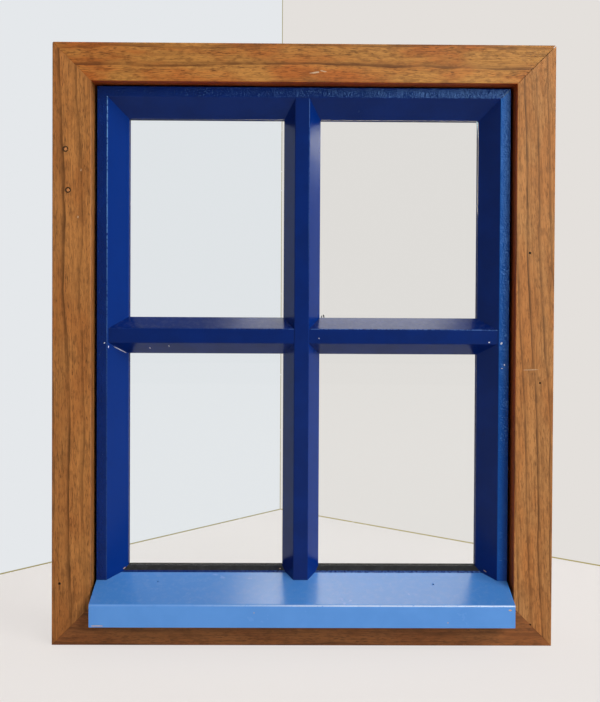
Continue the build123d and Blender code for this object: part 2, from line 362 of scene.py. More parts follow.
class Canvas(Nodes):
    """Nodes of one material, with its shader, its end and the place on the piece."""

    def __init__(self, name: str, effects: Effects | None = None) -> None:
        """Starts a material.

        Args:
            name: Its name.
            effects: The shared effects, if it has any.
        """
        self.material = bpy.data.materials.new(name)
        self.material.use_nodes = True
        super().__init__(self.material.node_tree)
        found = {node.type: node for node in self.tree.nodes}
        self.shader, self.end = found["BSDF_PRINCIPLED"], found["OUTPUT_MATERIAL"]
        self.place = self.read("ShaderNodeTexCoord")["Object"]
        self.effects = effects

    def effect(self, effect: Effect, **values: object) -> bpy.types.NodeOutputs:
        """Adds a shared effect at the place on the piece, or at another that is given."""
        values = {"Place": self.place, **values}
        return self.add("ShaderNodeGroup", values, node_tree=self.effects.groups[effect]).outputs

    def spot(self, x: float, z: float, length: float, width: float) -> Socket:
        """Measures how far the place lies from a spot on an upright face.

        Args:
            x: Place of the spot across.
            z: Height of the spot.
            length: Half its length.
            width: Half its width.

        Returns:
            The squared distance, which is 1 at the edge of the spot.
        """
        across, _, up = self.parts(self.place)
        aside = self.math("DIVIDE", self.math("SUBTRACT", across, x), length)
        above = self.math("DIVIDE", self.math("SUBTRACT", up, z), width)
        return self.math("ADD", self.square(aside), self.square(above))


@dataclass(frozen=True)
class Finish:
    """Look of a surface."""

    name: str

    def fill(self, nodes: Canvas) -> None:
        """Fills a material; each kind of finish has its own way."""
        raise NotImplementedError

    def material(self, effects: Effects) -> bpy.types.Material:
        """Makes the material.

        Args:
            effects: The shared effects.

        Returns:
            The material.
        """
        nodes = Canvas(self.name, effects)
        self.fill(nodes)
        return nodes.material


# Timber: where clouds, mottle, streaks and the dark spots at the holes begin and are full, the depth of the
# front, what faces in
CLOUD_SPAN = (0.36, 0.66)
MOTTLE_SPAN = (0.46, 0.68)
STREAK_SPAN = (0.42, 0.70)
HOLE_SPOT_SPAN = (0.5, 1.3)
FRONT_DEPTH = (-0.020, -0.024)
INWARD_SPAN = (-0.35, -0.70)
TIMBER_DUST = tone(190, 180, 166)
WARM_SHEEN = (1.0, 0.76, 0.46, 1.0)


@dataclass(frozen=True)
class TimberFinish(Finish):
    """Bare or oiled timber, with its own log.

    The heart of the log lies at a place across the fibres, and the log leans a little against the piece.
    """

    grain: Grain
    heart: Span
    lean: Span
    rings: float
    wander: float
    early: Colour
    late: Colour
    warm: Colour
    pore: Colour
    cloudiness: float = 0.6
    ring_depth: float = 0.85
    mottle: float = 0.35
    pore_depth: float = 0.6
    shade_share: float = 0.16
    streak_share: float = 0.40
    soil_share: float = 0.22
    soil_scale: float = 31.0
    roughness: Span = (0.42, 0.62)
    rubbed: float = 0.06
    ior: float = 1.42
    relief: float = 0.00012
    relief_share: float = 0.8
    dust: float = 0.12
    # Dark spots at the nail and pin holes: painted shade in the holes, darkening a little beyond their rims.
    hole_spot_tone: Colour = tone(34, 20, 10)
    hole_spots: tuple[Triple, ...] = ()
    reveal: Colour | None = None

    def fill(self, nodes: Canvas) -> None:
        """Fills a material.

        Args:
            nodes: The material's nodes.
        """
        level = self.grain is Grain.LEVEL
        quarter = -math.pi / 2 if level else 0.0
        log = nodes.add("ShaderNodeMapping", {
            "Vector": nodes.place,
            "Rotation": (self.lean[0], quarter + self.lean[1], 0.0),
            "Location": (-self.heart[0], -self.heart[1], 0.0),
        }, vector_type="POINT").outputs[0]
        timber = nodes.effect(Effect.TIMBER, Place=log, Rings=self.rings, Wander=self.wander)
        marks = nodes.effect(Effect.HANDLING, Scale=self.soil_scale)
        layers = [
            (nodes.spread(timber["Cloud"], CLOUD_SPAN, (0.0, self.cloudiness)), self.warm),
            (nodes.times(timber["Shade"], self.shade_share), self.late),
            (nodes.spread(timber["Mottle"], MOTTLE_SPAN, (0.0, self.mottle)), self.late),
            (nodes.times(timber["Ring"], self.ring_depth), self.late),
            (nodes.spread(timber["Fibre"], STREAK_SPAN, (0.0, self.streak_share)), self.late),
            (nodes.times(timber["Pore"], self.pore_depth), self.pore),
            (nodes.times(marks["Soil"], self.soil_share), self.pore),
        ]
        front = nodes.spread(nodes.parts(nodes.place)[1], FRONT_DEPTH)
        # Painted shade in the nail and pin holes, darkening a little beyond their rims.
        for x, z, radius in self.hole_spots:
            dark = nodes.spread(nodes.spot(x, z, radius, radius), HOLE_SPOT_SPAN, FALL)
            layers.append((nodes.times(dark, front), self.hole_spot_tone))
        colour: Colour | Socket = self.early
        for share, layer in layers:
            colour = nodes.mix(share, colour, layer)
        if self.reveal is not None:
            inward = nodes.spread(nodes.facing()[2 if level else 0], INWARD_SPAN)
            colour = nodes.mix(inward, colour, self.reveal, "MULTIPLY")
        lying = nodes.effect(Effect.DUST, Amount=self.dust)["Mask"]
        smooth, rough = self.roughness
        gloss = nodes.times(timber["Fibre"], rough - smooth)
        handled = nodes.math("SUBTRACT", gloss, nodes.times(marks["Rub"], self.rubbed))
        nodes.feed(nodes.shader, {
            "Base Color": nodes.mix(lying, colour, TIMBER_DUST),
            "Roughness": nodes.math("ADD", handled, smooth),
            "IOR": self.ior,
            "Specular Tint": WARM_SHEEN,
            "Normal": nodes.bump(timber["Height"], self.relief, self.relief_share),
        })


NAVY = tone(0, 31, 102)
NAVY_SHADE = tone(0, 27, 93)
# Painted shade: a darker navy for faces that look up.
NAVY_TOP_SHADE = tone(0, 32, 97)
# Painted light: a brighter navy for splays turned to the right.
NAVY_TURNED_LIGHT = tone(0, 41, 119)
NAVY_SHEEN = (0.45, 0.65, 1.0, 1.0)
STRIP_TONE = tone(40, 38, 34)
PAINT_DUST = tone(196, 200, 206)

# Paint: how far a face rises or turns to be a top (painted shade), a right splay (painted light), a front, an
# upright arris or a level edge (painted highlights)
TOP_SPAN = (0.80, 0.92)
TURNED_SPAN = (0.60, 0.69)
FRONT_SPAN = (-0.80, -0.95)
ARRIS_START = (0.03, 0.20)
EDGE_START = (0.15, 0.40)
EDGE_END = (0.66, 0.80)

# Paint: the painted arris highlight by height and across, painted light and shade across the right lining,
# the edge of the dark strip, and how chips are torn
HIGHLIGHT_RISE = (0.24, 0.56)
HIGHLIGHT_SHARES = (0.12, 1.1)
EDGE_ACROSS = (-0.14, 0.06)
EDGE_SHARES = (0.10, 1.0)
PAINTED_LIGHT_SHARES = (1.0, 0.2)
STRIP_EDGE = 0.0008
CHIP_TEAR = 1.6
CHIP_SPAN = (1.6, 1.2)


@dataclass(frozen=True)
class PaintFinish(Finish):
    """Satin paint over timber, rolled on.

    A chip has its place across, its height, half its length and half its width.
    """

    colour: Colour
    shade: Colour
    # Painted shade on faces that look up.
    top: Colour
    sheen: Colour = NAVY_SHEEN
    roughness: float = 0.17
    gloss_change: float = 0.10
    ior: float = 1.36
    cloud_span: Span = (0.35, 0.65)
    stipple: float = 520.0
    relief: float = 0.00003
    relief_share: float = 1.0
    soil_share: float = 0.15
    soil_scale: float = 40.0
    dust: float = 0.035
    # Painted highlight on the arrises, how it is broken into spots, and how much of it reaches the upright
    # arrises.
    arris: Colour = tone(70, 104, 168)
    wear: Span = (0.36, 0.60)
    upright_wear: float = 0.25
    # Painted light on splays turned to the right.
    turned: Colour | None = None
    # Painted light across the face: lighter at its inner arris, shaded towards the hardwood.
    faded: Colour | None = None
    fade: Span = RISE
    strip: Colour | None = None
    strip_start: float = 0.0
    chip: Colour = tone(198, 170, 150)
    chips: tuple[tuple[float, float, float, float], ...] = ()

    def fill(self, nodes: Canvas) -> None:
        """Fills a material.

        Args:
            nodes: The material's nodes.
        """
        film = nodes.effect(Effect.FILM, Stipple=self.stipple)
        marks = nodes.effect(Effect.HANDLING, Scale=self.soil_scale)
        colour = nodes.mix(nodes.spread(film["Cloud"], self.cloud_span), self.colour, self.shade)
        for share, layer in self._layers(nodes):
            colour = nodes.mix(share, colour, layer)
        colour = nodes.mix(nodes.times(marks["Soil"], self.soil_share), colour, self.shade)
        lying = nodes.effect(Effect.DUST, Amount=self.dust)["Mask"]
        smooth = self.roughness - self.gloss_change / 2
        clouded = nodes.math("MULTIPLY_ADD", film["Cloud"], self.gloss_change, smooth)
        dulled = nodes.times(marks["Rub"], self.gloss_change)
        stippled = nodes.spread(nodes.facing()[1], FRONT_SPAN, (self.relief_share, 1.0))
        nodes.feed(nodes.shader, {
            "Base Color": nodes.mix(lying, colour, PAINT_DUST),
            "Roughness": nodes.math("ADD", clouded, dulled),
            "IOR": self.ior,
            "Specular Tint": self.sheen,
            "Normal": nodes.bump(film["Height"], self.relief, stippled),
        })

    def _layers(self, nodes: Canvas) -> list[tuple[Socket, Colour]]:
        """Lists what lies over the plain coat, with the painted shade, light and highlights, from the lowest
        to the uppermost.

        Args:
            nodes: The material's nodes.

        Returns:
            The share and the colour of each layer.
        """
        across, _, level = nodes.parts(nodes.place)
        turning, ahead, rising = nodes.facing()
        front = nodes.spread(ahead, FRONT_SPAN)
        grain = nodes.noise(nodes.place, CHIP_AND_HIGHLIGHT_SPOTS)
        highlight_breakup = nodes.spread(grain, self.wear)
        # Painted highlight along upright arrises, fading towards the bottom, and along level arrises, growing
        # to the right.
        upright = nodes.times(nodes.spread(turning, ARRIS_START), nodes.spread(turning, TURNED_SPAN, FALL))
        reached = nodes.times(upright, nodes.spread(level, HIGHLIGHT_RISE, HIGHLIGHT_SHARES))
        edge = nodes.times(nodes.spread(rising, EDGE_START), nodes.spread(rising, EDGE_END, FALL))
        patchy = nodes.times(nodes.spread(across, EDGE_ACROSS, EDGE_SHARES), highlight_breakup)
        # Painted shade on the tops.
        layers = [(nodes.spread(rising, TOP_SPAN), self.top)]
        # Painted light on the splays turned to the right.
        if self.turned is not None:
            layers.append((nodes.spread(turning, TURNED_SPAN), self.turned))
        # Painted light across the face, shaded towards the hardwood.
        if self.faded is not None:
            layers.append((nodes.times(front, nodes.spread(across, self.fade, PAINTED_LIGHT_SHARES)), self.faded))
        layers.append((nodes.times(reached, nodes.times(highlight_breakup, self.upright_wear)), self.arris))
        layers.append((nodes.times(edge, patchy), self.arris))
        if self.strip is not None:
            span = (self.strip_start, self.strip_start + STRIP_EDGE)
            layers.append((nodes.spread(level, span), self.strip))
        for chip in self.chips:
            torn = nodes.math("MULTIPLY_ADD", grain, CHIP_TEAR, nodes.spot(*chip))
            layers.append((nodes.times(nodes.spread(torn, CHIP_SPAN), front), self.chip))
        return layers


@dataclass(frozen=True)
class GlassFinish(Finish):
    """Clear window glass with a little dust."""

    tint: Colour = (0.97, 0.985, 0.985, 1.0)
    ior: float = 1.46
    speckle: float = 0.25
    stipple: float = 300.0

    def fill(self, nodes: Canvas) -> None:
        """Fills a material.

        Args:
            nodes: The material's nodes.
        """
        film = nodes.effect(Effect.FILM, Stipple=self.stipple)
        nodes.feed(nodes.shader, {
            "Base Color": self.tint,
            "Transmission Weight": 1.0,
            "IOR": self.ior,
            "Roughness": nodes.times(film["Speckle"], self.speckle),
        })
        clear = nodes.add("ShaderNodeBsdfTransparent", {"Color": self.tint}).outputs[0]
        rays = nodes.read("ShaderNodeLightPath")
        mirrored = nodes.math("SUBTRACT", rays["Is Glossy Ray"], rays["Is Transmission Ray"], clamp=True)
        straight = nodes.math("MAXIMUM", rays["Is Shadow Ray"], mirrored)
        nodes.feed(nodes.end, {"Surface": nodes.blend(straight, nodes.shader.outputs[0], clear)})


@dataclass(frozen=True)
class MetalFinish(Finish):
    """Steel, bright or with rust on it."""

    metal: Colour
    rust: Colour
    rusted: float
    roughness: float = 0.38
    rust_span: Span = (0.75, 0.95)
    rust_metallic: float = 0.2
    rust_rough: float = 0.35
    relief: float = 0.00006

    def fill(self, nodes: Canvas) -> None:
        """Fills a material.

        Args:
            nodes: The material's nodes.
        """
        spots = nodes.noise(nodes.place, RUST_SPOTS)
        low, high = (end - 0.5 * self.rusted for end in self.rust_span)
        rust = nodes.spread(spots, (low, high))
        nodes.feed(nodes.shader, {
            "Base Color": nodes.mix(rust, self.metal, self.rust),
            "Metallic": nodes.spread(rust, RISE, (1.0, self.rust_metallic)),
            "Roughness": nodes.math("MULTIPLY_ADD", rust, self.rust_rough, self.roughness),
            "Normal": nodes.bump(spots, self.relief),
        })


@dataclass(frozen=True)
class MarkFinish(Finish):
    """Small mark: primer, bare wood, a scuff or a spot of dark paint."""

    colour: Colour
    under: Colour
    roughness: float = 0.6
    rough_change: float = 0.2
    grit_span: Span = (0.42, 0.70)
    grit_share: float = 0.6
    stipple: float = 1100.0
    relief: float = 0.00008

    def fill(self, nodes: Canvas) -> None:
        """Fills a material.

        Args:
            nodes: The material's nodes.
        """
        grit = nodes.noise(nodes.place, GRIT)
        film = nodes.effect(Effect.FILM, Stipple=self.stipple)
        share = nodes.spread(grit, self.grit_span, (0.0, self.grit_share))
        smooth = self.roughness - self.rough_change / 2
        nodes.feed(nodes.shader, {
            "Base Color": nodes.mix(share, self.colour, self.under),
            "Roughness": nodes.math("MULTIPLY_ADD", grit, self.rough_change, smooth),
            "Normal": nodes.bump(film["Height"], self.relief),
        })


def softwood(name: str, grain: Grain, heart: Span, lean: Span) -> TimberFinish:
    """Describes bare planed softwood.

    Args:
        name: Name of the material.
        grain: Way that its fibres run.
        heart: Place of the log's heart.
        lean: How the log leans.

    Returns:
        The finish.
    """
    return TimberFinish(
        name, grain, heart, lean, 190.0, 1.2,
        tone(214, 182, 132), tone(176, 130, 80), tone(204, 164, 112), tone(150, 110, 70),
        cloudiness=0.4, ring_depth=0.6, mottle=0.1, pore_depth=0.15, roughness=(0.5, 0.7),
    )


def navy(name: str, **changes: object) -> PaintFinish:
    """Describes navy paint, with what differs on one piece."""
    return PaintFinish(name, NAVY, NAVY_SHADE, NAVY_TOP_SHADE, **changes)


class Coat(Enum):
    """Finishes that a piece can have."""

    HEAD = TimberFinish(
        "hardwood_head", Grain.LEVEL, (-0.74, 0.13), (0.0, 0.004), 70.0, 1.0,
        tone(192, 132, 64), tone(88, 44, 16), tone(182, 94, 34), tone(76, 40, 16),
        cloudiness=0.85, ring_depth=0.9, mottle=0.45, pore_depth=0.7, reveal=(0.75, 0.34, 0.24, 1.0),
    )
    # Darker tones than the other members: painted shade of the sill over the base rail.
    BASE = TimberFinish(
        "hardwood_base_shaded", Grain.LEVEL, (0.16, 0.13), (0.0, -0.012), 80.0, 1.0,
        tone(150, 92, 50), tone(78, 42, 21), tone(132, 70, 34), tone(60, 33, 17),
    )
    LEFT = TimberFinish(
        "hardwood_left", Grain.UPRIGHT, (-0.40, 0.12), (0.0, 0.020), 88.0, 1.1,
        tone(182, 120, 63), tone(84, 46, 18), tone(164, 94, 42), tone(66, 36, 14),
        ring_depth=1.0,
        hole_spots=((-0.2369, 0.4941, 0.0031), (-0.2343, 0.4536, 0.0031), (-0.2421, 0.0617, 0.0015)),
    )
    RIGHT = TimberFinish(
        "hardwood_right", Grain.UPRIGHT, (0.42, 0.12), (0.0, 0.047), 112.0, 0.9,
        tone(186, 128, 74), tone(84, 46, 22), tone(176, 104, 48), tone(72, 40, 18),
        ring_depth=1.0, pore_depth=0.5, reveal=(0.90, 0.46, 0.32, 1.0),
        hole_spots=((0.2252, 0.3937, 0.0013), (0.2364, 0.2640, 0.0010), (0.2286, 0.0214, 0.0010)),
    )
    STRIP_LEVEL = softwood("softwood_level", Grain.LEVEL, (-0.2, 0.09), (0.0, 0.01))
    STRIP_UPRIGHT = softwood("softwood_upright", Grain.UPRIGHT, (-0.15, 0.09), (0.0, 0.008))
    # Painted light on the right splays of the bars.
    NAVY_BARS = navy("navy_paint", relief=0.00005, turned=NAVY_TURNED_LIGHT)
    # Painted light on its right splay, and a painted highlight down its upright arris that fades towards the
    # bottom.
    NAVY_LINING = navy(
        "navy_paint_lining", stipple=560.0, relief=0.0010, relief_share=0.08, upright_wear=0.75,
        arris=tone(96, 146, 200), wear=(0.30, 0.55), turned=NAVY_TURNED_LIGHT,
    )
    # Painted light across its face, lighter at the inner arris and shaded towards the hardwood.
    NAVY_RIGHT = navy(
        "navy_paint_right", stipple=560.0, relief=0.0010, relief_share=0.08,
        faded=tone(4, 76, 160), fade=(0.1995, 0.2075),
    )
    NAVY_BEAD = navy("navy_paint_bead", roughness=0.6, ior=1.0, arris=NAVY)
    DARK_BEAD = navy(
        "navy_paint_low_bead", roughness=0.6, ior=1.0, arris=NAVY, strip=STRIP_TONE, strip_start=0.0685,
    )
    NAVY_BASE = navy("navy_paint_base", strip=STRIP_TONE, strip_start=0.0668)
    # The third tone is painted shade on the sill's top, and the arris tone is a painted highlight along its
    # nose.
    SKY = PaintFinish(
        "sky_blue_paint", tone(90, 150, 224), tone(86, 146, 220), tone(68, 128, 202), WHITE, 0.21,
        relief=0.00005, dust=0.05, arris=tone(204, 220, 248), wear=(0.16, 0.45), upright_wear=0.0,
        chips=(
            (-0.1995, 0.0273, 0.0070, 0.0007), (0.2028, 0.0433, 0.0024, 0.0009),
            (-0.0472, 0.0404, 0.0008, 0.0005), (0.1422, 0.0310, 0.0009, 0.0005),
        ),
    )
    GLASS = GlassFinish("clear_glass")
    STEEL = MetalFinish("bright_steel", tone(186, 184, 178), tone(112, 70, 42), 0.35)
    OLD_STEEL = MetalFinish("rusted_steel", tone(226, 170, 104), tone(190, 122, 66), 0.9, 0.42)
    PRIMER = MarkFinish("white_primer", tone(226, 228, 236), tone(168, 180, 206))
    BARE = MarkFinish("bare_wood", tone(206, 168, 140), tone(176, 128, 96))
    DARK = MarkFinish("dark_paint", tone(20, 22, 30), tone(34, 36, 44), 0.4)
    SCUFF = MarkFinish("pale_scuff", tone(190, 160, 124), tone(166, 118, 76))


class Paintbox:
    """Materials of all finishes, each made once."""

    def __init__(self) -> None:
        """Makes the shared effects and every material."""
        effects = Effects()
        self.materials = {coat: coat.value.material(effects) for coat in Coat}

    def coat(self, piece: Piece, coat: Coat) -> None:
        """Gives every slot of a piece one finish.

        Args:
            piece: The piece.
            coat: Its finish.
        """
        if not piece.material_slots:
            piece.data.materials.append(self.materials[coat])
        for slot in piece.material_slots:
            slot.material = self.materials[coat]

    def coat_node(self, node: str, coat: Coat) -> None:
        """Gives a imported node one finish."""
        self.coat(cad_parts[node], coat)
        LOG.info("node %s: %s", node, coat.value.name)


class Bench:
    """Modelling steps that the sub-assemblies share."""

    @staticmethod
    def clear() -> None:
        """Leaves nothing selected, in object mode."""
        if bpy.context.object is not None and bpy.context.object.mode != "OBJECT":
            bpy.ops.object.mode_set(mode="OBJECT")
        bpy.ops.object.select_all(action="DESELECT")

    @staticmethod
    def pick_faces(piece: Piece, towards: Triple, limit: float = 0.9) -> None:
        """Selects the faces that look one way, in edit mode.

        Args:
            piece: Piece in edit mode.
            towards: Direction in the piece's own axes.
            limit: Least cosine between a face and the direction.
        """
        bpy.ops.mesh.select_mode(type="FACE")
        bpy.ops.mesh.select_all(action="DESELECT")
        bpy.ops.object.mode_set(mode="OBJECT")
        direction = Vector(towards)
        for face in piece.data.polygons:
            face.select = face.normal.dot(direction) > limit
        bpy.ops.object.mode_set(mode="EDIT")

    @staticmethod
    def place() -> None:
        """Puts the place of the chosen piece into its mesh."""
        bpy.ops.object.transform_apply(location=True, rotation=True, scale=True)

    @staticmethod
    def settle(piece: Piece, name: str) -> Piece:
        """Puts a finished piece's place into its mesh.

        Args:
            piece: The piece.
            name: Name to give it.

        Returns:
            The same piece.
        """
        Bench.clear()
        piece.select_set(True)
        bpy.context.view_layer.objects.active = piece
        Bench.place()
        bpy.ops.object.shade_smooth_by_angle(angle=SMOOTH_ANGLE)
        piece.name = name
        piece.data.name = name
        return piece

    @staticmethod
    def join(pieces: list[Piece], name: str) -> Piece:
        """Joins pieces into one.

        Args:
            pieces: What is joined.
            name: Name of the result.

        Returns:
            The joined piece.
        """
        Bench.clear()
        bpy.context.view_layer.update()
        for piece in pieces:
            piece.select_set(True)
        bpy.context.view_layer.objects.active = pieces[0]
        if len(pieces) > 1:
            bpy.ops.object.join()
        return Bench.settle(pieces[0], name)


@dataclass
class Surround:
    """Hardwood members, and the two old nails in the left one."""

    nail_places: tuple[Span, ...] = ((-0.2369, 0.4941), (-0.2343, 0.4536))
    face: float = -0.0285
    sink: float = 0.0005
    head_radius: float = 0.0017
    head_height: float = 0.0010
    head_sides: int = 20
    shank_radius: float = 0.0011
    shank_length: float = 0.030
    tip_share: float = 0.4
    dome: float = 0.00025
    dome_step: float = 0.3
    dome_rises: Span = (0.7, 0.3)

    def build(self) -> list[Piece]:
        """Models the nails.

        Returns:
            The new pieces.
        """
        nails = [self._nail(x, z) for x, z in self.nail_places]
        piece = Bench.join(nails, "old_nails")
        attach(piece, BODY)
        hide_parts("face_nails")
        return [piece]

    def _nail(self, x: float, z: float) -> Piece:
        """Models one nail with a worn, domed head.

        Args:
            x: Its place across.
            z: Its height.

        Returns:
            The nail.
        """
        Bench.clear()
        middle = self.face + self.sink + self.head_height / 2
        bpy.ops.mesh.primitive_cylinder_add(
            vertices=self.head_sides, radius=self.head_radius, depth=self.head_height,
            location=(x, middle, z), rotation=(math.pi / 2, 0.0, 0.0),
        )
        nail = bpy.context.object
        bpy.ops.object.mode_set(mode="EDIT")
        Bench.pick_faces(nail, (0.0, 0.0, 1.0))
        for rise in self.dome_rises:
            bpy.ops.mesh.inset(thickness=self.head_radius * self.dome_step, depth=self.dome * rise)
        Bench.pick_faces(nail, (0.0, 0.0, -1.0))
        bpy.ops.mesh.inset(thickness=self.head_radius - self.shank_radius, depth=0.0)
        bpy.ops.mesh.extrude_region_move(TRANSFORM_OT_translate={"value": (0.0, self.shank_length, 0.0)})
        bpy.ops.transform.resize(
            value=(self.tip_share, 1.0, self.tip_share), center_override=(x, middle + self.shank_length, z),
        )
        bpy.ops.object.mode_set(mode="OBJECT")
        return nail

    def dress(self, paintbox: Paintbox, pieces: list[Piece]) -> None:
        """Finishes the members, the dowels and the nails.

        Args:
            paintbox: Where the finishes are.
            pieces: What build made.
        """
        for side in SIDES:
            paintbox.coat_node(f"frame_{side}", Coat[side.upper()])
        paintbox.coat_node("mitre_dowels", Coat.STRIP_LEVEL)
        for piece in pieces:
            paintbox.coat(piece, Coat.OLD_STEEL)


@dataclass
class Joinery:
    """Painted lining, glazing bars and sill, with their nails."""

    coats: tuple[tuple[str, Coat], ...] = (
        ("lining_head", Coat.NAVY_LINING), ("lining_left", Coat.NAVY_LINING),
        ("mullion", Coat.NAVY_BARS), ("transom_left", Coat.NAVY_BARS), ("transom_right", Coat.NAVY_BARS),
        ("lining_right", Coat.NAVY_RIGHT), ("lining_base", Coat.NAVY_BASE), ("sill", Coat.SKY),
        ("sill_nails", Coat.OLD_STEEL), ("bar_nails", Coat.OLD_STEEL),
    )

    def build(self) -> list[Piece]:
        """Needs no new piece."""
        return []

    def dress(self, paintbox: Paintbox, pieces: list[Piece]) -> None:
        """Finishes the painted pieces and their nails."""
        for node, coat in self.coats:
            paintbox.coat_node(node, coat)


@dataclass
class Glazing:
    """Glass, the beads behind it, and the stops that hold the lining from the back."""

    back: float = 0.0285
    head_radius: float = 0.0035
    head_height: float = 0.0024
    head_sides: int = 32
    shank_radius: float = 0.00175
    shank_length: float = 0.0256
    tip_share: float = 0.3
    slot_width: float = 0.0009
    slot_depth: float = 0.0011
    slot_turn: float = 0.7
    inset: float = 0.0053
    half_width: float = 0.2082
    low: float = 0.0425
    high: float = 0.5596
    shares: Span = (0.3, 0.7)

    def places(self) -> list[Span]:
        """Lists where the screws are.

        Returns:
            The place across and the height of each.
        """
        width, height = 2 * self.half_width, self.high - self.low
        found = []
        for share in self.shares:
            x = -self.half_width + share * width
            z = self.low + share * height
            found += [(x, self.low + self.inset), (x, self.high - self.inset)]
            found += [(-self.half_width + self.inset, z), (self.half_width - self.inset, z)]
        return found

    def build(self) -> list[Piece]:
        """Models the screws.

        Returns:
            The new pieces.
        """
        first = self._screw()
        screws = []
        for index, (x, z) in enumerate(self.places()):
            screw = first.copy()
            screw.data = first.data.copy()
            bpy.context.collection.objects.link(screw)
            turn = Matrix.Rotation(index * self.slot_turn, 4, "Y")
            screw.matrix_world = Matrix.Translation((x, 0.0, z)) @ turn
            screws.append(screw)
        bpy.data.objects.remove(first)
        piece = Bench.join(screws, "slotted_screws")
        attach(piece, BODY)
        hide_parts("lining_screws")
        return [piece]

    def _screw(self) -> Piece:
        """Models one slotted countersunk screw on the Y axis.

        Returns:
            The screw.
        """
        Bench.clear()
        middle = self.back - self.head_height / 2
        bpy.ops.mesh.primitive_cone_add(
            vertices=self.head_sides, radius1=self.shank_radius, radius2=self.head_radius,
            depth=self.head_height, location=(0.0, middle, 0.0), rotation=(-math.pi / 2, 0.0, 0.0),
        )
        screw = bpy.context.object
        bpy.ops.object.mode_set(mode="EDIT")
        Bench.pick_faces(screw, (0.0, 0.0, -1.0))
        bpy.ops.mesh.extrude_region_move(TRANSFORM_OT_translate={"value": (0.0, -self.shank_length, 0.0)})
        bpy.ops.transform.resize(
            value=(self.tip_share, 1.0, self.tip_share),
            center_override=(0.0, middle - self.shank_length, 0.0),
        )
        bpy.ops.object.mode_set(mode="OBJECT")
        Bench.place()
        Bench.clear()
        bpy.ops.mesh.primitive_cube_add(size=1.0, location=(0.0, self.back, 0.0))
        cutter = bpy.context.object
        cutter.scale = (3 * self.head_radius, 2 * self.slot_depth, self.slot_width)
        Bench.place()
        Bench.clear()
        bpy.context.view_layer.objects.active = screw
        screw.select_set(True)
        slot = screw.modifiers.new("slot", "BOOLEAN")
        slot.operation = "DIFFERENCE"
        slot.object = cutter
        bpy.ops.object.modifier_apply(modifier=slot.name)
        bpy.data.objects.remove(cutter)
        return screw

    def dress(self, paintbox: Paintbox, pieces: list[Piece]) -> None:
        """Finishes the glass, the strips and their fixings.

        Args:
            paintbox: Where the finishes are.
            pieces: What build made.
        """
        paintbox.coat_node("glass_pane", Coat.GLASS)
        for side in SIDES:
            level = side in ("head", "base")
            paintbox.coat_node(f"stop_{side}", Coat.STRIP_LEVEL if level else Coat.STRIP_UPRIGHT)
            paintbox.coat_node(f"bead_{side}", Coat.DARK_BEAD if side == "base" else Coat.NAVY_BEAD)
        for node in ("stop_pins", "bead_pins"):
            paintbox.coat_node(node, Coat.STEEL)
        for piece in pieces:
            paintbox.coat(piece, Coat.STEEL)


@dataclass(frozen=True)
class Mark:
    """One small mark on a face: its middle, the way the face looks, and its size."""

    coat: Coat
    middle: Triple
    facing: Triple
    along: Triple
    length: float
    width: float


# Ways that the marked faces look, and that marks run
FRONT = (0.0, -1.0, 0.0)
LEFT_SPLAY = (0.707, -0.707, 0.0)
RIGHT_SPLAY = (-0.707, -0.707, 0.0)
BASE_SPLAY = (0.0, -0.707, 0.707)
UNDER_BAR = (0.0, -0.539, -0.842)
LEVEL = (1.0, 0.0, 0.0)
UP = (0.0, 0.0, 1.0)


